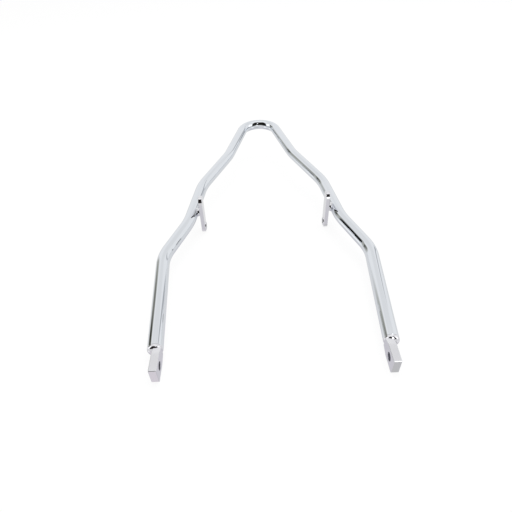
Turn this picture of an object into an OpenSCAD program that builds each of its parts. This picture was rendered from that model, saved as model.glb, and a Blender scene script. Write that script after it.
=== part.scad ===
// Sissy bar for a motorcycle: one bent tube hoop with a drilled lug at the end of each leg
// and a drilled tab for the backrest pad on a short stub inside each side.
// Millimetres, +Z up. The bar lies on its back as it comes to rest on a bench: on the
// lower ends of the two tabs and on the lower edges of the two lugs.
// +X is to the right, +Y runs from the lugs to the crown, and the origin is at the middle
// of the outline, on the bench.

/* [Tube] */
// Outside diameter of the tube
tube_d = 19.05; // [17:0.05:22]
// Wall thickness of the tube
tube_wall = 2.1; // [1.2:0.1:3]

/* [Hoop] */
// Centreline radius of the tight bend at the crown
crown_r = 36.5; // [28:0.5:60]
// Centreline radius of the three gentle bends down each side: shoulder, waist and hip
bend_r = 129; // [60:1:150]
// Centreline radius of the bend at the knee, above the leg
knee_r = 77; // [45:1:120]
// Outward lean of the straight under the crown, in degrees from the middle line
upper_lean = 14.5; // [8:0.5:20]
// Length of the straight under the crown
upper_len = 93; // [60:1:140]
// Outward lean of the shoulder straight, in degrees
shoulder_lean = 23.5; // [21.5:0.5:30]
// Length of the shoulder straight
shoulder_len = 84; // [60:1:140]
// Outward lean of the waist straight, which carries the tab, in degrees
waist_lean = 8; // [4:0.5:12]
// Length of the waist straight
waist_len = 71; // [60:1:120]
// Outward lean of the hip straight, in degrees
hip_lean = 21; // [16:0.5:28]
// Length of the hip straight
hip_len = 53; // [40:1:100]
// Inward lean of the leg, in degrees
leg_tuck = 4; // [1:0.5:8]
// Length of the leg, from the knee bend to the tube's open end
leg_len = 143; // [100:1:220]

/* [Lugs] */
// Thickness of the flat bar that each lug is made of, across the bike
lug_thick = 9.5; // [6:0.5:12]
// Height of the flat bar
lug_height = 22; // [20:0.5:28]
// Distance from the tube's end to the end face of the lug
lug_reach = 38; // [32:1:60]
// Length of the slope on which the bar rises from the plug to its full height
lug_slope = 12; // [4:1:14]
// Distance from the leg's axis inward to the middle of the lug
lug_inset = 3.8; // [0:0.1:5]
// Diameter of the bolt hole through the lug
lug_hole_d = 10.3; // [8:0.1:12]
// Distance from the middle of the bolt hole to the end face of the lug
lug_hole_back = 14; // [10:0.5:16]
// Length of the domed plug head that closes the tube, outside the tube
plug_head = 6; // [5:0.5:9]
// Rounding of the plug head's rim
plug_round = 5; // [1:0.5:5]
// Length of the plug's spigot, inside the tube
plug_spigot = 18; // [8:1:40]
// Clearance between the spigot and the tube's bore, all round
plug_clear = 0.1; // [0.05:0.05:0.4]
// Rounding of the long edges of the flat bars
bar_edge = 0.8; // [0.3:0.1:1.5]
// Width of the chamfer round the bolt holes
hole_chamfer = 0.5; // [0.2:0.1:1]

/* [Pad tabs] */
// Thickness of each tab
tab_thick = 6.4; // [4:0.1:8]
// Width of each tab
tab_width = 19; // [16:0.5:24]
// Length of each tab, over its two round ends
tab_length = 68; // [56:1:90]
// Distance that the middle of the tab lies below the tube's axis
tab_drop = 4; // [0:0.5:8]
// Clear gap between the tube and the nearest edge of the tab
tab_gap = 0.8; // [0.5:0.1:4]
// Distance from the stub's axis to the lower end of the waist straight
tab_above_bend = 11.5; // [9:0.5:30]
// Diameter of the screw hole at the lower end of the tab
tab_hole_d = 8.5; // [6:0.1:10]
// Diameter of the stub that joins the tab to the tube
stub_d = 12.7; // [10:0.1:14]
// Leg of the weld that flares the stub out where it meets the tube
stub_flare = 1.8; // [0.5:0.1:2.5]
// Diameter of the round boss on the inner face of the tab, round the screw hole
boss_d = 13.5; // [12:0.5:16]
// Thickness of the boss
boss_thick = 1.2; // [1.2:0.2:4]

/* [Hidden] */
$fn = 96;
chrome = [0.86, 0.88, 0.91];
steel = [0.74, 0.75, 0.77];
tube_r = tube_d / 2;
bore_r = tube_r - tube_wall;
// How far a cutting shape runs past the face that it cuts
past = 1;
// How far a bend runs on into the straight beside it, and how much slimmer it is than the straight
bend_lap = 0.8;
bend_slim = 0.02;
// How far a straight's end tapers on each side of the joint, and by how much its radius narrows
joint_reach = 0.5;
joint_taper = 0.1;

// The five straights of one side, from the crown down, and the bend at the lower end of each but the last
leans = [upper_lean, shoulder_lean, waist_lean, hip_lean, -leg_tuck];
lengths = [upper_len, shoulder_len, waist_len, hip_len, leg_len];
bends = [bend_r, bend_r, bend_r, knee_r];
leg = len(bends);
waist = leg - 2;

// Direction of travel down a straight that leans outward by a
function along(a) = [sin(a), -cos(a)];
// Direction from a bend's centre to the tube where the tube leans by a
function outward(a) = [cos(a), sin(a)];
// 1 where the tube turns in from lean a to lean b, and -1 where it turns out
function turn(a, b) = b < a ? 1 : -1;
// Start and end of each straight, measured from the top of the crown
function start(i) = i == 0
    ? crown_r * (outward(leans[0]) - outward(90))
    : end(i - 1) + turn(leans[i - 1], leans[i]) * bends[i - 1] * (outward(leans[i]) - outward(leans[i - 1]));
function end(i) = start(i) + lengths[i] * along(leans[i]);

// The hoop's own plane has the tube's open ends at y = 0 and its axis at z = 0
crown_y = -end(leg)[1];
foot_x = end(leg)[0];

// Places of the stub and the tab on the waist straight
stub_at = end(waist) - tab_above_bend * along(waist_lean);
tab_y = stub_at[1] + crown_y;
tab_outer_x = stub_at[0] - tube_r / cos(waist_lean) - tan(waist_lean) * tab_width / 2 - tab_gap;
tab_x = tab_outer_x - tab_thick / 2;
tab_inner_x = tab_outer_x - tab_thick;
tab_round_z = -tab_drop - (tab_length - tab_width) / 2;

// Rest on the bench: the tilt at which the tabs' round ends and the lugs' corners are level
rest_run = tab_y + lug_reach;
rest_drop = -lug_height / 2 - tab_round_z;
rest_tilt = atan2(rest_drop, rest_run) + asin(tab_width / 2 / norm([rest_run, rest_drop]));
rest_lift = lug_reach * sin(rest_tilt) + lug_height / 2 * cos(rest_tilt);
crown_end = crown_y * cos(rest_tilt) + tube_r;
lug_end = -lug_reach * cos(rest_tilt) - lug_height / 2 * sin(rest_tilt);
rest_shift = -(crown_end + lug_end) / 2;

// Puts what is drawn in the hoop's own plane down on the bench
module at_rest() {
    translate([0, rest_shift, rest_lift]) rotate([rest_tilt, 0, 0]) children();
}

// Draws the right-hand piece, or its mirror image on the left
module on_side(side) {
    if (side < 0) mirror([1, 0, 0]) children();
    else children();
}

// One bend of a round rod of radius r, round the origin from the +X side. It is slimmer than the
// straights by a hair, and both of its ends lie inside them.
module bent_rod(r, centre_r, angle) {
    lap = bend_lap / centre_r * 180 / PI;
    rotate([0, 0, -lap]) rotate_extrude(angle = angle + 2 * lap)
        translate([centre_r, 0]) circle(r = r - bend_slim);
}

// A straight of a round rod of radius r, along -Y from the origin. An end that meets a bend tapers
// as it enters, so that the two surfaces cross on one clean line. An open end is square, and
// the straight runs on there by extra.
module straight_rod(r, length, open_end, extra) {
    rotate([90, 0, 0]) rotate_extrude() polygon(concat(
        [
            [0, -joint_reach],
            [r - joint_taper, -joint_reach],
            [r, joint_reach]
        ],
        open_end
            ? [[r, length + extra], [0, length + extra]]
            : [
                [r, length - joint_reach],
                [r - joint_taper, length + joint_reach],
                [0, length + joint_reach]
            ]
    ));
}

// A round rod down one side, from straight i to the open end. It sets out along -Y, and each
// bend carries all that follows it.
module side_rod(i, r, extra) {
    straight_rod(r, lengths[i], i == leg, extra);
    if (i < leg) translate([0, -lengths[i], 0]) {
        turned = leans[i + 1] - leans[i];
        way = sign(turned);
        translate([way * bends[i], 0, 0]) rotate([0, 0, way > 0 ? 180 : turned])
            bent_rod(r, bends[i], abs(turned));
        translate([way * bends[i] * (1 - cos(turned)), -bends[i] * abs(sin(turned)), 0])
            rotate([0, 0, turned]) side_rod(i + 1, r, extra);
    }
}

// A round rod of radius r that follows the whole hoop, and runs on by extra at its open ends
module hoop_rod(r, extra = 0) {
    translate([0, crown_y - crown_r, 0]) {
        rotate([0, 0, upper_lean]) bent_rod(r, crown_r, 180 - 2 * upper_lean);
        for (side = [-1, 1]) on_side(side)
            rotate([0, 0, upper_lean]) translate([crown_r, 0, 0]) side_rod(0, r, extra);
    }
}

// A rectangle w by h, centred, with its corners rounded
module rounded_rect(w, h, r) {
    square([w - 2 * r, h], center = true);
    square([w, h - 2 * r], center = true);
    for (x = [-1, 1], y = [-1, 1])
        translate([x * (w / 2 - r), y * (h / 2 - r)]) circle(r = r);
}

// A round hole along X through stock of the given thickness, chamfered at the faces that are
// listed: 0 is the outer face and 1 the inner one
module chamfered_hole(d, thick, faces) {
    rotate([0, 90, 0]) {
        cylinder(d = d, h = thick + 2 * past, center = true);
        for (s = faces) mirror([0, 0, s]) translate([0, 0, thick / 2 - hole_chamfer])
            cylinder(d1 = d, d2 = d + 2 * (hole_chamfer + past), h = hole_chamfer + past);
    }
}

// The plug that closes the tube's end: a spigot in the bore and a domed head on the end face
module plug() {
    spigot_r = bore_r - plug_clear;
    rotate_extrude() {
        translate([0, -plug_spigot]) square([spigot_r, plug_spigot]);
        square([tube_r, plug_head - plug_round]);
        square([tube_r - plug_round, plug_head]);
        intersection() {
            translate([tube_r - plug_round, plug_head - plug_round]) circle(r = plug_round);
            square([tube_r, plug_head]);
        }
    }
}

// The flat bar of the lug, parallel to the middle plane. It starts inside the plug head, lower than
// the tube, and rises to its full height on a long slope.
module lug_bar() {
    root_h = tube_d - plug_round;
    slope_end = -plug_head / 2 - lug_slope;
    intersection() {
        translate([-lug_thick / 2, 0, 0]) rotate([90, 0, 90]) linear_extrude(lug_thick)
            polygon([
                [-plug_head / 2, -root_h / 2],
                [slope_end, -lug_height / 2],
                [-lug_reach, -lug_height / 2],
                [-lug_reach, lug_height / 2],
                [slope_end, lug_height / 2],
                [-plug_head / 2, root_h / 2]
            ]);
        rotate([90, 0, 0]) linear_extrude(lug_reach) rounded_rect(lug_thick, lug_height, bar_edge);
    }
}

// Lug of one leg: the drilled flat bar and its plug, one piece
module lug(side) {
    on_side(side) difference() {
        union() {
            translate([foot_x, 0, 0]) rotate([90, 0, -leg_tuck]) plug();
            translate([foot_x - lug_inset, 0, 0]) lug_bar();
        }
        translate([foot_x - lug_inset, lug_hole_back - lug_reach, 0])
            chamfered_hole(lug_hole_d, lug_thick, [0, 1]);
    }
}

// Tab for the backrest pad: flat bar with full round ends, on edge to the hoop's plane
module tab(side) {
    on_side(side) difference() {
        translate([tab_x, tab_y, -tab_drop]) {
            linear_extrude(tab_length - tab_width, center = true)
                rounded_rect(tab_thick, tab_width, bar_edge);
            for (s = [-1, 1]) translate([0, 0, s * (tab_length - tab_width) / 2])
                rotate([0, 90, 0]) rotate_extrude() intersection() {
                    rotate(90) rounded_rect(tab_thick, tab_width, bar_edge);
                    translate([0, -tab_thick / 2]) square([tab_width / 2, tab_thick]);
                }
        }
        translate([tab_x, tab_y, tab_round_z]) chamfered_hole(tab_hole_d, tab_thick, [0]);
    }
}

// Boss on the inner face of the tab, a welded ring round the screw hole, bevelled in and out
module boss(side) {
    hole_r = tab_hole_d / 2;
    rim_r = boss_d / 2;
    on_side(side) translate([tab_inner_x - boss_thick, tab_y, tab_round_z]) rotate([0, 90, 0])
        rotate_extrude() polygon([
            [hole_r + hole_chamfer, 0],
            [rim_r - bar_edge, 0],
            [rim_r, bar_edge],
            [rim_r, boss_thick],
            [hole_r, boss_thick],
            [hole_r, hole_chamfer]
        ]);
}

// Stub between the tube and the tab, coped to the tube, with the weld's flare at that end
module standoff(side) {
    bridge = stub_at[0] - tab_outer_x;
    on_side(side) difference() {
        translate([tab_outer_x, tab_y, 0]) rotate([0, 90, 0]) {
            cylinder(d = stub_d, h = bridge);
            translate([0, 0, tab_gap]) cylinder(d1 = stub_d, d2 = stub_d + 2 * stub_flare, h = tube_r / 2);
        }
        translate([0, crown_y, 0]) translate(start(waist)) rotate([90, 0, waist_lean])
            cylinder(r = tube_r, h = waist_len);
        translate([stub_at[0], tab_y - stub_d, -stub_d]) cube(2 * stub_d);
    }
}

// The bent tube, open at both ends
module hoop_tube() {
    color(chrome) at_rest() difference() {
        hoop_rod(tube_r);
        hoop_rod(bore_r, past);
    }
}
module left_lug() { color(chrome) at_rest() lug(-1); }
module right_lug() { color(chrome) at_rest() lug(1); }
module left_standoff() { color(steel) at_rest() standoff(-1); }
module right_standoff() { color(steel) at_rest() standoff(1); }
module left_tab() { color(chrome) at_rest() tab(-1); }
module right_tab() { color(chrome) at_rest() tab(1); }
module left_boss() { color(steel) at_rest() boss(-1); }
module right_boss() { color(steel) at_rest() boss(1); }

hoop_tube();
left_lug();
right_lug();
left_standoff();
right_standoff();
left_tab();
right_tab();
left_boss();
right_boss();
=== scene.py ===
import math
import bmesh
import bpy
from mathutils import Matrix, Vector


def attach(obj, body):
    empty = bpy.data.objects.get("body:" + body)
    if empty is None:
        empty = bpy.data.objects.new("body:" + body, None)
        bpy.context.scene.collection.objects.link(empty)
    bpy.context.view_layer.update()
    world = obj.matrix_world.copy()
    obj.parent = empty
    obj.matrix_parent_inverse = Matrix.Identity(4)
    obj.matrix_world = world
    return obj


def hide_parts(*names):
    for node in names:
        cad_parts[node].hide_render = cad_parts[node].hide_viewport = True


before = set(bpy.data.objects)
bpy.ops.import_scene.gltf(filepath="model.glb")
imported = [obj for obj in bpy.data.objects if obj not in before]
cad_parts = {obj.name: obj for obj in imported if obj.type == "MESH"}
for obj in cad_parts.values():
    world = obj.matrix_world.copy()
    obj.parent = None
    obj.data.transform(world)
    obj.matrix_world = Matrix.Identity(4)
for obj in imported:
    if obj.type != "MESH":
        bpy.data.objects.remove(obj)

scene = bpy.context.scene
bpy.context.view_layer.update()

# Hoop
# One length of 3/4 in steel tube, bent cold round formers: a tight bend at the crown and four
# gentle ones down each side. It is left open at both ends, then polished and chromed.
TUBE_R = 0.009525
BORE_R = 0.007425
CROWN_R = 0.0365
GENTLE_R = 0.129
KNEE_R = 0.077
BENDS = [CROWN_R, GENTLE_R, GENTLE_R, GENTLE_R, KNEE_R]
LEANS = [math.radians(a) for a in (14.5, 23.5, 8, 21, -4)]
LENGTHS = [0.093, 0.084, 0.071, 0.053, 0.143]
BEND_STEP = math.radians(1.0)
STRAIGHT_STEPS = 8
END_CHAMFER = 0.0003
TUBE_SIDES = 96

# The straight that carries the stubs, counted from 0 at the crown, and the sizes of the lugs and
# tabs that set how the bar lies
WAIST = 2
LUG_REACH = 0.038
LUG_HEIGHT = 0.022
TAB_WIDTH = 0.019
TAB_THICK = 0.0064
TAB_LENGTH = 0.068
TAB_DROP = 0.004
TAB_GAP = 0.0008
TAB_ABOVE_BEND = 0.0115
RING_WELD = 1e-6
SAME_POINT = 1e-7


def down(lean):
    """Direction of travel down a straight, in the hoop's own plane."""
    return Vector((math.sin(lean), -math.cos(lean)))


def outward(lean):
    """Direction square to that straight, away from the middle of the hoop."""
    return Vector((math.cos(lean), math.sin(lean)))


def side_of_hoop():
    """The right-hand side's centreline from the crown's top, and where each straight ends."""
    points, ends, at, lean = [Vector((0, 0))], [], Vector((0, 0)), math.pi / 2
    for new_lean, length, radius in zip(LEANS, LENGTHS, BENDS):
        way = 1 if new_lean < lean else -1
        centre = at - way * radius * outward(lean)
        steps = max(2, math.ceil(abs(new_lean - lean) / BEND_STEP))
        for k in range(1, steps + 1):
            turned = lean + (new_lean - lean) * k / steps
            points.append(centre + way * radius * outward(turned))
        at = points[-1].copy()
        for k in range(1, STRAIGHT_STEPS + 1):
            points.append(at + down(new_lean) * length * k / STRAIGHT_STEPS)
        at, lean = points[-1].copy(), new_lean
        ends.append(at.copy())
    points.insert(-1, at - down(lean) * END_CHAMFER)
    return points, ends


side_points, straight_ends = side_of_hoop()
crown_y = -straight_ends[-1].y
foot_x = straight_ends[-1].x
stub_at = straight_ends[WAIST] - TAB_ABOVE_BEND * down(LEANS[WAIST])
tab_y = stub_at.y + crown_y
tab_outer_x = (
    stub_at.x - TUBE_R / math.cos(LEANS[WAIST])
    - math.tan(LEANS[WAIST]) * TAB_WIDTH / 2 - TAB_GAP
)
tab_round_z = -TAB_DROP - (TAB_LENGTH - TAB_WIDTH) / 2

# The bar lies on the tabs' lower round ends and the lugs' lower end edges
rest_run = tab_y + LUG_REACH
rest_drop = -LUG_HEIGHT / 2 - tab_round_z
rest_tilt = math.atan2(rest_drop, rest_run) + math.asin(
    TAB_WIDTH / 2 / math.hypot(rest_run, rest_drop)
)
rest_lift = LUG_REACH * math.sin(rest_tilt) + LUG_HEIGHT / 2 * math.cos(rest_tilt)
crown_end = crown_y * math.cos(rest_tilt) + TUBE_R
lug_end = -LUG_REACH * math.cos(rest_tilt) - LUG_HEIGHT / 2 * math.sin(rest_tilt)
at_rest = Matrix.Translation((0, -(crown_end + lug_end) / 2, rest_lift)) @ Matrix.Rotation(
    rest_tilt, 4, "X"
)


def path_object(name, points):
    """A poly curve in the hoop's own plane for a node tree to follow."""
    curve = bpy.data.curves.new(name, "CURVE")
    curve.dimensions = "3D"
    spline = curve.splines.new("POLY")
    spline.points.add(len(points) - 1)
    for target, p in zip(spline.points, points):
        target.co = (p.x, p.y, p.z, 1)
    made = bpy.data.objects.new(name, curve)
    scene.collection.objects.link(made)
    return made


def tube_wall_tree():
    """Sweeps a tube's wall along a curve: out along the outer skin and back along the bore."""
    tree = bpy.data.node_groups.new("tube_wall", "GeometryNodeTree")
    side = tree.interface
    side.new_socket("Geometry", in_out="OUTPUT", socket_type="NodeSocketGeometry")
    side.new_socket("Path", in_out="INPUT", socket_type="NodeSocketObject")
    side.new_socket("Outer Radius", in_out="INPUT", socket_type="NodeSocketFloat")
    side.new_socket("Bore Radius", in_out="INPUT", socket_type="NodeSocketFloat")
    side.new_socket("End Chamfer", in_out="INPUT", socket_type="NodeSocketFloat")
    side.new_socket("Sides", in_out="INPUT", socket_type="NodeSocketInt")
    side.new_socket("Rings", in_out="INPUT", socket_type="NodeSocketInt")
    side.new_socket("Material", in_out="INPUT", socket_type="NodeSocketMaterial")
    nodes, links = tree.nodes, tree.links
    given = nodes.new("NodeGroupInput").outputs
    result = nodes.new("NodeGroupOutput").inputs

    def maths(operation, a, b=None):
        node = nodes.new("ShaderNodeMath")
        node.operation = operation
        for socket, value in zip(node.inputs, (a, b)):
            if isinstance(value, (int, float)):
                socket.default_value = value
            elif value is not None:
                links.new(value, socket)
        return node.outputs[0]

    def vector_maths(operation, a, b=None, scale=None):
        node = nodes.new("ShaderNodeVectorMath")
        node.operation = operation
        links.new(a, node.inputs[0])
        if b is not None:
            links.new(b, node.inputs[1])
        if scale is not None:
            links.new(scale, node.inputs["Scale"])
        return node.outputs[0]

    path = nodes.new("GeometryNodeObjectInfo")
    links.new(given["Path"], path.inputs["Object"])

    # One column of points for each ring, out and back, and the first column once more to close
    columns = maths("ADD", maths("MULTIPLY", given["Rings"], 2), 1)
    rows = maths("ADD", given["Sides"], 1)
    grid = nodes.new("GeometryNodeMeshGrid")
    links.new(columns, grid.inputs["Vertices X"])
    links.new(rows, grid.inputs["Vertices Y"])
    index = nodes.new("GeometryNodeInputIndex").outputs[0]
    run = maths("FLOOR", maths("DIVIDE", index, rows))
    column = maths("MODULO", run, maths("SUBTRACT", columns, 1))
    row = maths("MODULO", index, rows)
    going_out = maths("LESS_THAN", column, given["Rings"])
    back = maths("SUBTRACT", maths("SUBTRACT", columns, 2), column)
    ring = maths("ADD", maths("MULTIPLY", going_out, column),
                 maths("MULTIPLY", maths("SUBTRACT", 1, going_out), back))
    last = maths("SUBTRACT", given["Rings"], 1)
    at_end = maths("ADD", maths("LESS_THAN", ring, 0.5),
                   maths("GREATER_THAN", ring, maths("SUBTRACT", last, 0.5)))
    outer = maths("SUBTRACT", given["Outer Radius"], maths("MULTIPLY", at_end, given["End Chamfer"]))
    radius = maths("ADD", maths("MULTIPLY", going_out, outer),
                   maths("MULTIPLY", maths("SUBTRACT", 1, going_out), given["Bore Radius"]))

    # The place and direction of the path at that ring, taken from the path's own points
    points = nodes.new("GeometryNodeCurveToPoints")
    points.mode = "EVALUATED"
    links.new(path.outputs["Geometry"], points.inputs["Curve"])

    def at_ring(output, data_type):
        sample = nodes.new("GeometryNodeSampleIndex")
        sample.data_type = data_type
        sample.domain = "POINT"
        links.new(points.outputs["Points"], sample.inputs["Geometry"])
        links.new(output, sample.inputs["Value"])
        links.new(ring, sample.inputs["Index"])
        return sample.outputs[0]

    place = at_ring(nodes.new("GeometryNodeInputPosition").outputs[0], "FLOAT_VECTOR")
    tangent = at_ring(points.outputs["Tangent"], "FLOAT_VECTOR")
    up = nodes.new("ShaderNodeCombineXYZ")
    up.inputs["Z"].default_value = 1
    across = vector_maths("NORMALIZE", vector_maths("CROSS_PRODUCT", up.outputs[0], tangent))
    angle = maths("DIVIDE", maths("MULTIPLY", row, 2 * math.pi), given["Sides"])
    flat = vector_maths("SCALE", across, scale=maths("MULTIPLY", radius, maths("COSINE", angle)))
    rise = vector_maths("SCALE", up.outputs[0], scale=maths("MULTIPLY", radius, maths("SINE", angle)))
    target = vector_maths("ADD", place, vector_maths("ADD", flat, rise))
    move = nodes.new("GeometryNodeSetPosition")
    links.new(grid.outputs["Mesh"], move.inputs["Geometry"])
    links.new(target, move.inputs["Position"])
    weld = nodes.new("GeometryNodeMergeByDistance")
    weld.inputs["Distance"].default_value = RING_WELD
    links.new(move.outputs[0], weld.inputs["Geometry"])
    real = nodes.new("GeometryNodeRealizeInstances")
    links.new(weld.outputs[0], real.inputs[0])
    paint = nodes.new("GeometryNodeSetMaterial")
    links.new(real.outputs[0], paint.inputs["Geometry"])
    links.new(given["Material"], paint.inputs["Material"])
    links.new(paint.outputs[0], result["Geometry"])
    return tree


def run_tree(name, tree, values):
    """Runs a node tree on an empty mesh and keeps the result as a plain mesh."""
    holder = bpy.data.objects.new(name + "_tree", bpy.data.meshes.new(name + "_tree"))
    scene.collection.objects.link(holder)
    modifier = holder.modifiers.new("tree", "NODES")
    modifier.node_group = tree
    for item in tree.interface.items_tree:
        if item.in_out == "INPUT" and item.name in values:
            modifier[item.identifier] = values[item.name]
    bpy.context.view_layer.update()
    evaluated = holder.evaluated_get(bpy.context.evaluated_depsgraph_get())
    mesh = bpy.data.meshes.new_from_object(evaluated)
    mesh.name = name
    holder.modifiers.remove(modifier)
    bpy.data.objects.remove(holder)
    made = bpy.data.objects.new(name, mesh)
    scene.collection.objects.link(made)
    return made


def outward_faces(mesh):
    """Joins points that coincide and turns every face outwards."""
    bm = bmesh.new()
    bm.from_mesh(mesh)
    bmesh.ops.remove_doubles(bm, verts=bm.verts, dist=SAME_POINT)
    bmesh.ops.recalc_face_normals(bm, faces=bm.faces)
    bm.to_mesh(mesh)
    bm.free()


def shade(piece, sharp_degrees=35):
    """Smooth shading, broken at edges sharper than the given angle."""
    piece.data.shade_smooth()
    bm = bmesh.new()
    bm.from_mesh(piece.data)
    for edge in bm.edges:
        edge.smooth = edge.calc_face_angle(math.pi) < math.radians(sharp_degrees)
    bm.to_mesh(piece.data)
    bm.free()


# Scales of the patterns in the plate, where it counts as an edge, and the ripple's height
CLOUD_SCALE = 14
RIPPLE_SCALE = 190
LINE_SCALE = 2600
LINE_SQUEEZE = 0.04
EDGE_FROM = 0.52
EDGE_TO = 0.62
# Tone of the lighter plate at edges: partly wear, partly a painted highlight
EDGE_RUB_AND_HIGHLIGHT_TONE = (0.92, 0.93, 0.94, 1)
RIPPLE_HEIGHT = 0.0001


def chrome_detail_group():
    """Variation, polishing lines, lighter plate at edges (partly wear, partly a painted highlight)
    and a fine ripple for plated steel.
    """
    group = bpy.data.node_groups.new("chrome_detail", "ShaderNodeTree")
    side = group.interface
    side.new_socket("Vector", in_out="INPUT", socket_type="NodeSocketVector")
    for name in ("Cloud Scale", "Lines Scale", "Ripple Scale", "Wear"):
        side.new_socket(name, in_out="INPUT", socket_type="NodeSocketFloat")
    for name in ("Cloud", "Lines", "Ripple", "Edge"):
        side.new_socket(name, in_out="OUTPUT", socket_type="NodeSocketFloat")
    nodes, links = group.nodes, group.links
    given = nodes.new("NodeGroupInput").outputs
    result = nodes.new("NodeGroupOutput").inputs

    def noise(name, where, detail):
        node = nodes.new("ShaderNodeTexNoise")
        node.inputs["Detail"].default_value = detail
        links.new(where, node.inputs["Vector"])
        links.new(given[name + " Scale"], node.inputs["Scale"])
        links.new(node.outputs["Fac"], result[name])

    # The polishing lines run along the bar, so their noise is drawn out along Y
    squeeze = nodes.new("ShaderNodeMapping")
    squeeze.inputs["Scale"].default_value = (1, LINE_SQUEEZE, 1)
    links.new(given["Vector"], squeeze.inputs["Vector"])
    noise("Cloud", given["Vector"], 3)
    noise("Ripple", given["Vector"], 1)
    noise("Lines", squeeze.outputs[0], 2)
    # Sharply convex places get a lighter colour: partly wear, partly a painted highlight
    geometry = nodes.new("ShaderNodeNewGeometry")
    ramp = nodes.new("ShaderNodeMapRange")
    ramp.inputs["From Min"].default_value = EDGE_FROM
    ramp.inputs["From Max"].default_value = EDGE_TO
    links.new(geometry.outputs["Pointiness"], ramp.inputs["Value"])
    scale = nodes.new("ShaderNodeMath")
    scale.operation = "MULTIPLY"
    links.new(ramp.outputs["Result"], scale.inputs[0])
    links.new(given["Wear"], scale.inputs[1])
    links.new(scale.outputs[0], result["Edge"])
    return group


chrome_detail = chrome_detail_group()


def chrome(name, shades, roughness, edge_rub_and_highlight, ripple):
    """Plated steel, with the darkest and lightest of its colour and its least and most roughness."""
    material = bpy.data.materials.new(name)
    material.use_nodes = True
    nodes, links = material.node_tree.nodes, material.node_tree.links
    surface = nodes["Principled BSDF"]
    surface.inputs["Metallic"].default_value = 1.0
    where = nodes.new("ShaderNodeTexCoord")
    detail = nodes.new("ShaderNodeGroup")
    detail.node_tree = chrome_detail
    detail.inputs["Cloud Scale"].default_value = CLOUD_SCALE
    detail.inputs["Lines Scale"].default_value = LINE_SCALE
    detail.inputs["Ripple Scale"].default_value = RIPPLE_SCALE
    detail.inputs["Wear"].default_value = edge_rub_and_highlight
    links.new(where.outputs["Object"], detail.inputs["Vector"])
    tint = nodes.new("ShaderNodeMix")
    tint.data_type = "RGBA"
    tint.inputs["A"].default_value = (*shades[0], 1)
    tint.inputs["B"].default_value = (*shades[1], 1)
    links.new(detail.outputs["Cloud"], tint.inputs["Factor"])
    # Convex edges are made lighter in colour: partly wear, partly a painted highlight
    rubbed_and_highlit_edges = nodes.new("ShaderNodeMix")
    rubbed_and_highlit_edges.data_type = "RGBA"
    rubbed_and_highlit_edges.inputs["B"].default_value = EDGE_RUB_AND_HIGHLIGHT_TONE
    links.new(detail.outputs["Edge"], rubbed_and_highlit_edges.inputs["Factor"])
    links.new(tint.outputs["Result"], rubbed_and_highlit_edges.inputs["A"])
    links.new(rubbed_and_highlit_edges.outputs["Result"], surface.inputs["Base Color"])
    rough = nodes.new("ShaderNodeMapRange")
    rough.inputs["To Min"].default_value, rough.inputs["To Max"].default_value = roughness
    links.new(detail.outputs["Lines"], rough.inputs["Value"])
    links.new(rough.outputs["Result"], surface.inputs["Roughness"])
    bump = nodes.new("ShaderNodeBump")
    bump.inputs["Strength"].default_value = ripple
    bump.inputs["Distance"].default_value = RIPPLE_HEIGHT
    links.new(detail.outputs["Ripple"], bump.inputs["Height"])
    links.new(bump.outputs["Normal"], surface.inputs["Normal"])
    return material


tube_chrome = chrome(
    "tube_chrome", shades=((0.755, 0.785, 0.825), (0.80, 0.83, 0.87)),
    roughness=(0.015, 0.045), edge_rub_and_highlight=0.3, ripple=0.08,
)

half = [Vector((p.x, p.y + crown_y, 0)) for p in side_points]
whole = [Vector((-p.x, p.y, 0)) for p in reversed(half[1:])] + half
hoop_path = path_object("hoop_path", whole)
hoop = run_tree("hoop", tube_wall_tree(), {
    "Path": hoop_path,
    "Outer Radius": TUBE_R,
    "Bore Radius": BORE_R,
    "End Chamfer": END_CHAMFER,
    "Sides": TUBE_SIDES,
    "Rings": len(whole),
    "Material": tube_chrome,
})
bpy.data.objects.remove(hoop_path)
hoop.data.transform(at_rest)
outward_faces(hoop.data)
shade(hoop)
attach(hoop, "root")
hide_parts("hoop_tube")

# Lugs
# A flat bar, drilled for the bolt that holds the bar to the motorcycle, and a plug with a domed
# head that closes the tube. The bar is welded to the head, and the weld is ground and plated over.
LUG_THICK = 0.0095
LUG_SLOPE = 0.012
LUG_INSET = 0.0038
LUG_HOLE_R = 0.00515
LUG_HOLE_BACK = 0.014
HOLE_CHAMFER = 0.0005
BAR_EDGE = 0.0008
PLUG_HEAD = 0.006
PLUG_ROUND = 0.005
PLUG_SPIGOT = 0.018
PLUG_CLEAR = 0.0001
ROUND_STEPS = 10
EDGE_STEPS = 5
AROUND = 96


def plain_object(name, verts, faces):
    """A mesh of its own, with the faces turned outwards."""
    mesh = bpy.data.meshes.new(name)
    mesh.from_pydata(verts, [], faces)
    outward_faces(mesh)
    made = bpy.data.objects.new(name, mesh)
    scene.collection.objects.link(made)
    return made


def loft(name, rings):
    """A closed skin over a run of rings of equal length. A ring of one point closes that end."""
    verts, faces, starts = [], [], []
    for ring in rings:
        starts.append(len(verts))
        verts += ring
    for (a, ring_a), (b, ring_b) in zip(zip(starts, rings), zip(starts[1:], rings[1:])):
        n = max(len(ring_a), len(ring_b))
        for k in range(n):
            m = (k + 1) % n
            if len(ring_a) == 1:
                faces.append((a, b + m, b + k))
            elif len(ring_b) == 1:
                faces.append((a + k, a + m, b))
            else:
                faces.append((a + k, a + m, b + m, b + k))
    return plain_object(name, verts, faces)


def quarter(centre, radius, start, steps=ROUND_STEPS):
    """Points of a quarter circle, from the start angle in degrees and on by 90."""
    angles = [math.radians(start + 90 * k / steps) for k in range(steps + 1)]
    return [(centre[0] + radius * math.cos(a), centre[1] + radius * math.sin(a)) for a in angles]


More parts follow.
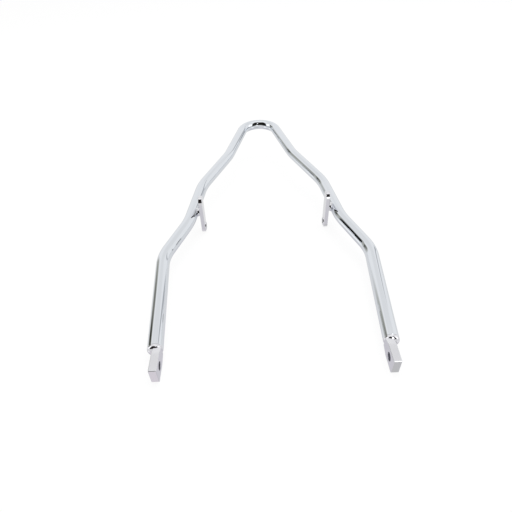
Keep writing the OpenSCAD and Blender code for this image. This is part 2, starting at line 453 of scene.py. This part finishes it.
def turned(name, profile):
    """A body turned round Z from pairs of radius and height. It starts and ends on the axis."""
    rings = []
    for r, z in profile:
        if r == 0:
            rings.append([(0, 0, z)])
        else:
            angles = [2 * math.pi * k / AROUND for k in range(AROUND)]
            rings.append([(r * math.cos(a), r * math.sin(a), z) for a in angles])
    return loft(name, rings)


def combine(target, tool, operation):
    """Joins or cuts the target with the tool, which is used up."""
    modifier = target.modifiers.new("combine", "BOOLEAN")
    modifier.operation = operation
    modifier.solver = "EXACT"
    modifier.object = tool
    bpy.context.view_layer.update()
    evaluated = target.evaluated_get(bpy.context.evaluated_depsgraph_get())
    mesh = bpy.data.meshes.new_from_object(evaluated)
    target.modifiers.remove(modifier)
    target.data = mesh
    bpy.data.objects.remove(tool)


def finish_piece(piece, side, node, material, sharp_degrees=32):
    """Puts a right-hand piece on its side, evens its shading and gives it its finish and its body."""
    mirror = Matrix.Diagonal((side, 1, 1, 1))
    piece.data.transform(at_rest @ mirror)
    outward_faces(piece.data)
    shade(piece, sharp_degrees)
    even = piece.modifiers.new("even", "WEIGHTED_NORMAL")
    even.keep_sharp = True
    piece.data.materials.clear()
    piece.data.materials.append(material)
    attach(piece, "root")
    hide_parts(node)


def lug_plug():
    """The plug: a spigot inside the tube and a head with a domed rim, leaning as the leg does."""
    spigot_r = BORE_R - PLUG_CLEAR
    dome = quarter((TUBE_R - PLUG_ROUND, PLUG_HEAD - PLUG_ROUND), PLUG_ROUND, 0)
    spigot = [(0, -PLUG_SPIGOT), (spigot_r, -PLUG_SPIGOT), (spigot_r, 0), (TUBE_R, 0)]
    profile = spigot + dome + [(0, PLUG_HEAD)]
    plug = turned("plug", profile)
    turn = Matrix.Rotation(LEANS[-1], 4, "Z") @ Matrix.Rotation(math.pi / 2, 4, "X")
    plug.data.transform(Matrix.Translation((foot_x, 0, 0)) @ turn)
    return plug


def lug_flat_bar():
    """The bar, with its long edges and all the edges of its end rounded."""
    root = (2 * TUBE_R - PLUG_ROUND) / 2
    high = LUG_HEIGHT / 2
    slope_end = -PLUG_HEAD / 2 - LUG_SLOPE
    outline = [
        (-PLUG_HEAD / 2, -root), (slope_end, -high), (-LUG_REACH, -high),
        (-LUG_REACH, high), (slope_end, high), (-PLUG_HEAD / 2, root),
    ]
    middle = foot_x - LUG_INSET
    sides = [[(middle + s * LUG_THICK / 2, y, z) for y, z in outline] for s in (-1, 1)]
    n = len(outline)
    faces = [tuple(range(n)), tuple(range(2 * n - 1, n - 1, -1))]
    faces += [(k, (k + 1) % n, n + (k + 1) % n, n + k) for k in range(n)]
    bar = plain_object("bar", sides[0] + sides[1], faces)
    bm = bmesh.new()
    bm.from_mesh(bar.data)
    rounded = []
    for edge in bm.edges:
        a, b = (v.co for v in edge.verts)
        runs_across = abs(a.x - b.x) > LUG_THICK / 2
        at_the_end = max(a.y, b.y) < slope_end - BAR_EDGE
        if min(a.y, b.y) < slope_end + BAR_EDGE and (at_the_end or not runs_across):
            rounded.append(edge)
    bmesh.ops.bevel(
        bm, geom=rounded, offset=BAR_EDGE, segments=EDGE_STEPS, profile=0.5,
        affect="EDGES", clamp_overlap=True,
    )
    bm.to_mesh(bar.data)
    bm.free()
    return bar


def drill(radius, length, chamfer):
    """A cutter for a bolt hole through stock of that length, chamfered at both faces."""
    over = length
    mouth = radius + chamfer + over - length / 2
    half_way = [(0, over), (mouth, over), (radius, length / 2 - chamfer)]
    profile = half_way + [(r, -z) for r, z in reversed(half_way)]
    cutter = turned("drill", profile)
    cutter.data.transform(Matrix.Rotation(math.pi / 2, 4, "Y"))
    return cutter


def paint_hole_shade(piece, centre, reach, finish):
    """Gives the wall of a hole along X, within reach of its centre, a finish of its own, darker to
    paint the shade inside the hole.
    """
    piece.data.materials.append(finish)
    for face in piece.data.polygons:
        away = face.center - centre
        faces_sideways = abs(face.normal.x) > 0.9
        if math.hypot(away.y, away.z) < reach and not faces_sideways:
            face.material_index = 1


# The wall of a bolt hole is painted darker, a painted shade for the hollow, and is rougher, as plate
# hardly reaches it
hole_painted_shade = chrome(
    "hole_painted_shade", shades=((0.38, 0.38, 0.42), (0.48, 0.48, 0.52)),
    roughness=(0.28, 0.42), edge_rub_and_highlight=0, ripple=0.3,
)
bar_chrome = chrome(
    "bar_chrome", shades=((0.765, 0.77, 0.80), (0.825, 0.82, 0.85)),
    roughness=(0.04, 0.11), edge_rub_and_highlight=0.5, ripple=0.16,
)
hole_at = Vector((foot_x - LUG_INSET, LUG_HOLE_BACK - LUG_REACH, 0))
for side, name in ((-1, "left_lug"), (1, "right_lug")):
    lug = lug_flat_bar()
    cutter = drill(LUG_HOLE_R, LUG_THICK, HOLE_CHAMFER)
    cutter.data.transform(Matrix.Translation(hole_at))
    combine(lug, cutter, "DIFFERENCE")
    combine(lug, lug_plug(), "UNION")
    lug.name = name + "_plated"
    finish_piece(lug, side, name, bar_chrome)
    # Paints shade on the bolt hole's wall with the darker finish
    paint_hole_shade(lug, at_rest @ hole_at, LUG_HOLE_R + HOLE_CHAMFER, hole_painted_shade)

# Tabs
# Flat bar with full round ends, on edge to the hoop, that carries the backrest pad. Its rims are
# eased by the polishing, and a screw goes through its lower end.
TAB_HOLE_R = 0.00425
END_STEPS = 32
tab_middle_z = -TAB_DROP


def stadium(offset, x):
    """The tab's outline, drawn in by the offset, as a ring at that x, from its upper end round."""
    radius = TAB_WIDTH / 2 - offset
    reach = (TAB_LENGTH - TAB_WIDTH) / 2
    ring = []
    for up in (1, -1):
        for k in range(END_STEPS + 1):
            a = math.pi * k / END_STEPS
            y = tab_y + up * radius * math.cos(a)
            ring.append((x, y, tab_middle_z + up * (reach + radius * math.sin(a))))
    return ring


def hole_ring(radius, x, outline):
    """A circle round the screw hole, each point in line with one of the outline's."""
    ring = []
    for _, y, z in outline:
        a = math.atan2(z - tab_round_z, y - tab_y)
        ring.append((x, tab_y + radius * math.cos(a), tab_round_z + radius * math.sin(a)))
    return ring


def tab_plate(name):
    """The tab: its skin from one face over the rim to the other, and back through the screw hole."""
    inner, outer = tab_outer_x - TAB_THICK, tab_outer_x
    easing = quarter((0, 0), BAR_EDGE, 0, EDGE_STEPS)
    rim = [(BAR_EDGE - dx, outer - BAR_EDGE + dz) for dx, dz in easing]
    skin = [stadium(inset, x) for inset, x in reversed(rim)]
    skin += [stadium(inset, outer + inner - x) for inset, x in rim]
    guide = stadium(BAR_EDGE, 0)
    bore = [
        hole_ring(TAB_HOLE_R, inner, guide),
        hole_ring(TAB_HOLE_R, outer - HOLE_CHAMFER, guide),
        hole_ring(TAB_HOLE_R + HOLE_CHAMFER, outer, guide),
    ]
    return loft(name, skin + bore + skin[:1])


for side, name in ((-1, "left_tab"), (1, "right_tab")):
    finish_piece(tab_plate(name + "_plated"), side, name, bar_chrome)

# Stubs
# A short round stub joins each tab to the tube. It is coped to the tube and welded all round, and
# the welds leave a hollow flare at both of its ends.
STUB_R = 0.00635
STUB_FLARE = 0.0018
STUB_FOOT = 0.0007
STUB_STEPS = 14
STUB_SINK = 0.0004
weld_chrome = chrome(
    "weld_chrome", shades=((0.75, 0.76, 0.78), (0.81, 0.81, 0.83)),
    roughness=(0.03, 0.08), edge_rub_and_highlight=0.5, ripple=0.2,
)


def tube_face_x(y, z):
    """The x at which the inner side of the waist's tube lies, at that y and z."""
    lean = LEANS[WAIST]
    depth = math.sqrt(max(TUBE_R ** 2 - z ** 2, 0))
    return stub_at.x - (depth + (y - tab_y) * math.sin(lean)) / math.cos(lean)


def stub(name):
    """The stub, from just inside the tab to just inside the tube, with its flares."""
    rings = []
    for k in range(STUB_STEPS + 1):
        t = k / STUB_STEPS
        radius = STUB_R + STUB_FLARE * t ** 3 + STUB_FOOT * (1 - t) ** 3
        ring = []
        for j in range(AROUND):
            a = 2 * math.pi * j / AROUND
            y, z = tab_y + radius * math.cos(a), radius * math.sin(a)
            start, end = tab_outer_x - STUB_SINK, tube_face_x(y, z) + STUB_SINK
            ring.append((start + (end - start) * t, y, z))
        rings.append(ring)
    middle = (tube_face_x(tab_y, 0) + STUB_SINK, tab_y, 0)
    return loft(name, [[(tab_outer_x - STUB_SINK, tab_y, 0)]] + rings + [[middle]])


for side, name in ((-1, "left_standoff"), (1, "right_standoff")):
    finish_piece(stub(name + "_plated"), side, name, weld_chrome, 60)

# Bosses
# A ring like a thick washer, welded round the screw hole on the inner face of each tab, so that
# the pad bears on it. Its edges are eased.
BOSS_R = 0.00675
BOSS_THICK = 0.0012


def boss(name):
    """The ring, from profile points of radius and height above its free face."""
    hole = [(TAB_HOLE_R, BOSS_THICK), (TAB_HOLE_R, HOLE_CHAMFER), (TAB_HOLE_R + HOLE_CHAMFER, 0)]
    outer = quarter((BOSS_R - BAR_EDGE, BAR_EDGE), BAR_EDGE, 270)
    profile = hole + outer + [(BOSS_R, BOSS_THICK)]
    rings = []
    for r, h in profile + profile[:1]:
        angles = [2 * math.pi * k / AROUND for k in range(AROUND)]
        x = tab_outer_x - TAB_THICK - BOSS_THICK + h
        rings.append([(x, tab_y + r * math.cos(a), tab_round_z + r * math.sin(a)) for a in angles])
    return loft(name, rings)


for side, name in ((-1, "left_boss"), (1, "right_boss")):
    finish_piece(boss(name + "_plated"), side, name, bar_chrome)

# Floor and light
# A white sweep under a soft, even light. Bright metal shows little but what is round it, so the
# room is described by direction: pale all round, with darker things to the left and in front.
FLOOR_SIZE = 24
FLOOR_SHADE = 0.93
SHADOW_SHARE = 0.11
PLAIN_LIGHT = 0.95
LAMP_AT = Vector((0.3, 0.6, 2.2))
LAMP_WIDTH = 2.2
LAMP_POWER = 26
WHITE = (1, 1, 1, 1)
WINDOW_EDGES = ("From Azimuth", "To Azimuth", "From Elevation", "To Elevation")
EVERY_WAY = (-200, 200)


def grey(level):
    """An even tone, which is over 1 where it is brighter than white."""
    return (level, level, level, 1)


SKY = grey(0.93)
BACK_WALL = grey(0.85)
CEILING = grey(1.04)
TABLE = grey(0.80)
TABLE_BELOW = (0.66, 0.65, 0.69, 1)
TABLE_RIM = grey(1.12)
TABLE_SIDES = grey(1.10)
TABLE_RIGHT = grey(0.60)
TABLE_LEFT = (0.78, 0.74, 0.78, 1)
OLIVE_PANEL = (0.42, 0.42, 0.38, 1)
GREY_PANEL = (0.42, 0.42, 0.40, 1)
DARK_POST = (0.06, 0.06, 0.05, 1)
SHADED_POST = (0.20, 0.20, 0.18, 1)
BLACK_STRIP = grey(0.015)
THIN_POST = (0.45, 0.46, 0.48, 1)
WHITE_SCREEN = grey(1.35)
DARK_ROOM = (0.015, 0.013, 0.012, 1)

# Each window of directions has its azimuths, its elevations and the softness of its edges, in
# degrees, and its tone. Azimuths run from the back, or in the last list from the front, towards
# the right, and a later window lies over an earlier one.
ALL_ROUND = [
    (EVERY_WAY, (44, 60), 5, BACK_WALL),
    (EVERY_WAY, (66, 100), 6, CEILING),
    (EVERY_WAY, (-100, -1), 1.5, TABLE),
    (EVERY_WAY, (-70, -40), 6, TABLE_BELOW),
]
TO_THE_LEFT = [
    ((-78, -60), (-24, -9), 4, TABLE_RIM),
    ((-68, -44), (-8, 31), 4, OLIVE_PANEL),
    ((-59.5, -54), (-4, 26), 2.5, DARK_POST),
    ((-54, -49), (3, 27), 2.5, SHADED_POST),
    ((-71, -58), (27, 39), 4, GREY_PANEL),
    ((-78, -67), (-2, 33), 2, BLACK_STRIP),
]
TO_THE_RIGHT = [
    ((41, 45.5), (8, 40), 1.5, THIN_POST),
]
IN_FRONT = [
    ((57, 92), (-4, 44), 3, WHITE_SCREEN),
    ((-100, -58), (-4, 44), 3, WHITE_SCREEN),
    ((55, 75), (-50, -26), 5, TABLE_SIDES),
    ((-78, -50), (-50, -26), 5, TABLE_SIDES),
    ((10, 55), (-80, -46), 6, TABLE_RIGHT),
    ((-55, -10), (-80, -46), 6, TABLE_LEFT),
    ((-66, 56), (1, 73), 4, DARK_ROOM),
]


def stage_plane(name, size, place, turn=(0, 0, 0)):
    """A rectangle that belongs to the stage and not to the object."""
    mesh = bpy.data.meshes.new(name)
    w, h = size[0] / 2, size[1] / 2
    mesh.from_pydata([(-w, -h, 0), (w, -h, 0), (w, h, 0), (-w, h, 0)], [], [(0, 1, 2, 3)])
    made = bpy.data.objects.new(name, mesh)
    made.location = place
    made.rotation_euler = turn
    scene.collection.objects.link(made)
    return made


def floor_paint():
    """White to the camera with a share of its true shading, which holds the object's shadow."""
    material = bpy.data.materials.new("floor_paint")
    material.use_nodes = True
    nodes, links = material.node_tree.nodes, material.node_tree.links
    nodes.clear()
    out = nodes.new("ShaderNodeOutputMaterial")
    ray = nodes.new("ShaderNodeLightPath")
    plain = nodes.new("ShaderNodeBsdfDiffuse")
    plain.inputs["Color"].default_value = grey(FLOOR_SHADE)
    white = nodes.new("ShaderNodeEmission")
    white.inputs["Color"].default_value = WHITE
    shaded = nodes.new("ShaderNodeMixShader")
    shaded.inputs[0].default_value = SHADOW_SHARE
    seen = nodes.new("ShaderNodeMixShader")
    links.new(white.outputs[0], shaded.inputs[1])
    links.new(plain.outputs[0], shaded.inputs[2])
    links.new(ray.outputs["Is Camera Ray"], seen.inputs[0])
    links.new(plain.outputs[0], seen.inputs[1])
    links.new(shaded.outputs[0], seen.inputs[2])
    links.new(seen.outputs[0], out.inputs[0])
    return material


floor = stage_plane("floor", (FLOOR_SIZE, FLOOR_SIZE), (0, 0, 0))
floor.data.materials.append(floor_paint())
floor.visible_glossy = False


def window_group():
    """Lays one tone over another inside a soft-edged window of directions, given in degrees."""
    group = bpy.data.node_groups.new("window_of_directions", "ShaderNodeTree")
    side = group.interface
    for name in ("Under", "Tone"):
        side.new_socket(name, in_out="INPUT", socket_type="NodeSocketColor")
    for name in ("Azimuth", "Elevation", "Softness") + WINDOW_EDGES:
        side.new_socket(name, in_out="INPUT", socket_type="NodeSocketFloat")
    side.new_socket("Result", in_out="OUTPUT", socket_type="NodeSocketColor")
    nodes, links = group.nodes, group.links
    given = nodes.new("NodeGroupInput").outputs
    result = nodes.new("NodeGroupOutput").inputs

    def maths(operation, a, b):
        node = nodes.new("ShaderNodeMath")
        node.operation = operation
        links.new(a, node.inputs[0])
        links.new(b, node.inputs[1])
        return node.outputs[0]

    def past(angle, edge):
        """0 below the edge and 1 above it, with a smooth step between."""
        step = nodes.new("ShaderNodeMapRange")
        step.interpolation_type = "SMOOTHSTEP"
        links.new(given[angle], step.inputs["Value"])
        links.new(maths("SUBTRACT", given[edge], given["Softness"]), step.inputs["From Min"])
        links.new(maths("ADD", given[edge], given["Softness"]), step.inputs["From Max"])
        return step.outputs["Result"]

    def within(angle):
        return maths("SUBTRACT", past(angle, "From " + angle), past(angle, "To " + angle))

    mix = nodes.new("ShaderNodeMix")
    mix.data_type = "RGBA"
    links.new(maths("MULTIPLY", within("Azimuth"), within("Elevation")), mix.inputs["Factor"])
    links.new(given["Under"], mix.inputs["A"])
    links.new(given["Tone"], mix.inputs["B"])
    links.new(mix.outputs["Result"], result["Result"])
    return group


world = bpy.data.worlds.new("studio")
world.use_nodes = True
scene.world = world
nodes, links = world.node_tree.nodes, world.node_tree.links
nodes.clear()
way = nodes.new("ShaderNodeTexCoord")
split = nodes.new("ShaderNodeSeparateXYZ")
links.new(way.outputs["Generated"], split.inputs[0])


def degrees(operation, first, second=None):
    """An angle worked out from parts of the direction, in degrees."""
    angle = nodes.new("ShaderNodeMath")
    angle.operation = operation
    links.new(first, angle.inputs[0])
    if second is not None:
        links.new(second, angle.inputs[1])
    turn = nodes.new("ShaderNodeMath")
    turn.operation = "DEGREES"
    links.new(angle.outputs[0], turn.inputs[0])
    return turn.outputs[0]


forwards = nodes.new("ShaderNodeMath")
forwards.operation = "MULTIPLY"
forwards.inputs[1].default_value = -1
links.new(split.outputs["Y"], forwards.inputs[0])
from_back = degrees("ARCTAN2", split.outputs["X"], split.outputs["Y"])
from_front = degrees("ARCTAN2", split.outputs["X"], forwards.outputs[0])
height = degrees("ARCSINE", split.outputs["Z"])

window = window_group()
sky = nodes.new("ShaderNodeRGB")
sky.outputs[0].default_value = SKY
tone = sky.outputs[0]
seen_behind = ALL_ROUND + TO_THE_LEFT + TO_THE_RIGHT
for azimuth, windows in ((from_back, seen_behind), (from_front, IN_FRONT)):
    for azimuths, elevations, softness, colour in windows:
        pane = nodes.new("ShaderNodeGroup")
        pane.node_tree = window
        pane.inputs["Softness"].default_value = softness
        pane.inputs["Tone"].default_value = colour
        for name, angle in zip(WINDOW_EDGES, azimuths + elevations):
            pane.inputs[name].default_value = angle
        links.new(tone, pane.inputs["Under"])
        links.new(azimuth, pane.inputs["Azimuth"])
        links.new(height, pane.inputs["Elevation"])
        tone = pane.outputs["Result"]

room = nodes.new("ShaderNodeBackground")
links.new(tone, room.inputs["Color"])
plain = nodes.new("ShaderNodeBackground")
plain.inputs["Color"].default_value = WHITE
plain.inputs["Strength"].default_value = PLAIN_LIGHT
backdrop = nodes.new("ShaderNodeBackground")
backdrop.inputs["Color"].default_value = WHITE
ray = nodes.new("ShaderNodeLightPath")
lit = nodes.new("ShaderNodeMixShader")
seen = nodes.new("ShaderNodeMixShader")
world_out = nodes.new("ShaderNodeOutputWorld")
links.new(ray.outputs["Is Glossy Ray"], lit.inputs[0])
links.new(plain.outputs[0], lit.inputs[1])
links.new(room.outputs[0], lit.inputs[2])
links.new(ray.outputs["Is Camera Ray"], seen.inputs[0])
links.new(lit.outputs[0], seen.inputs[1])
links.new(backdrop.outputs[0], seen.inputs[2])
links.new(seen.outputs[0], world_out.inputs[0])


def reflector(name, size, seen_from, azimuth, elevation, away, level):
    """A small bright card that only metal sees, in a direction in degrees from one spot."""
    a, e = math.radians(azimuth), math.radians(elevation)
    towards = Vector((math.sin(a) * math.cos(e), math.cos(a) * math.cos(e), math.sin(e)))
    facing = (-towards).to_track_quat("Z", "Y").to_euler()
    made = stage_plane(name, size, seen_from + towards * away, facing)
    paint = bpy.data.materials.new(name)
    paint.use_nodes = True
    paint.node_tree.nodes.clear()
    glow = paint.node_tree.nodes.new("ShaderNodeEmission")
    glow.inputs["Color"].default_value = WHITE
    glow.inputs["Strength"].default_value = level
    out = paint.node_tree.nodes.new("ShaderNodeOutputMaterial")
    paint.node_tree.links.new(glow.outputs[0], out.inputs[0])
    made.data.materials.append(paint)
    made.visible_camera = False
    made.visible_diffuse = False
    made.visible_shadow = False


crown_top = at_rest @ Vector((0, crown_y, 0))
lug_tip = at_rest @ Vector((foot_x - LUG_INSET, -LUG_REACH, LUG_HEIGHT / 2))
reflector(
    "window_light", size=(0.13, 0.15), seen_from=crown_top,
    azimuth=170, elevation=43, away=1.2, level=3,
)
reflector(
    "edge_light", size=(0.06, 0.14), seen_from=lug_tip,
    azimuth=160, elevation=34, away=0.16, level=4,
)

lamp_data = bpy.data.lights.new("soft_top", "AREA")
lamp_data.shape = "DISK"
lamp_data.size = LAMP_WIDTH
lamp_data.energy = LAMP_POWER
lamp = bpy.data.objects.new("soft_top", lamp_data)
lamp.location = LAMP_AT
lamp.rotation_euler = (-LAMP_AT).to_track_quat("-Z", "Y").to_euler()
lamp.visible_glossy = False
scene.collection.objects.link(lamp)

# Camera
# It stands over the open end of the hoop and looks down along it, turned a little.
CAMERA_AT = Vector((-0.0150, -0.6075, 0.4071))
CAMERA_DOWN = math.radians(37.665)
CAMERA_TURN = math.radians(-0.141)
CAMERA_ROLL = math.radians(-2.416)
CAMERA_LENS = 30.23
SENSOR_WIDTH = 36
camera_data = bpy.data.cameras.new("camera")
camera_data.lens = CAMERA_LENS
camera_data.sensor_width = SENSOR_WIDTH
camera = bpy.data.objects.new("camera", camera_data)
look = Vector((
    math.cos(CAMERA_DOWN) * math.sin(CAMERA_TURN),
    math.cos(CAMERA_DOWN) * math.cos(CAMERA_TURN),
    -math.sin(CAMERA_DOWN),
))
camera.location = CAMERA_AT
camera.rotation_mode = "QUATERNION"
roll = Matrix.Rotation(CAMERA_ROLL, 3, "Z").to_quaternion()
camera.rotation_quaternion = look.to_track_quat("-Z", "Y") @ roll
scene.collection.objects.link(camera)
scene.camera = camera
scene.view_settings.view_transform = "Standard"
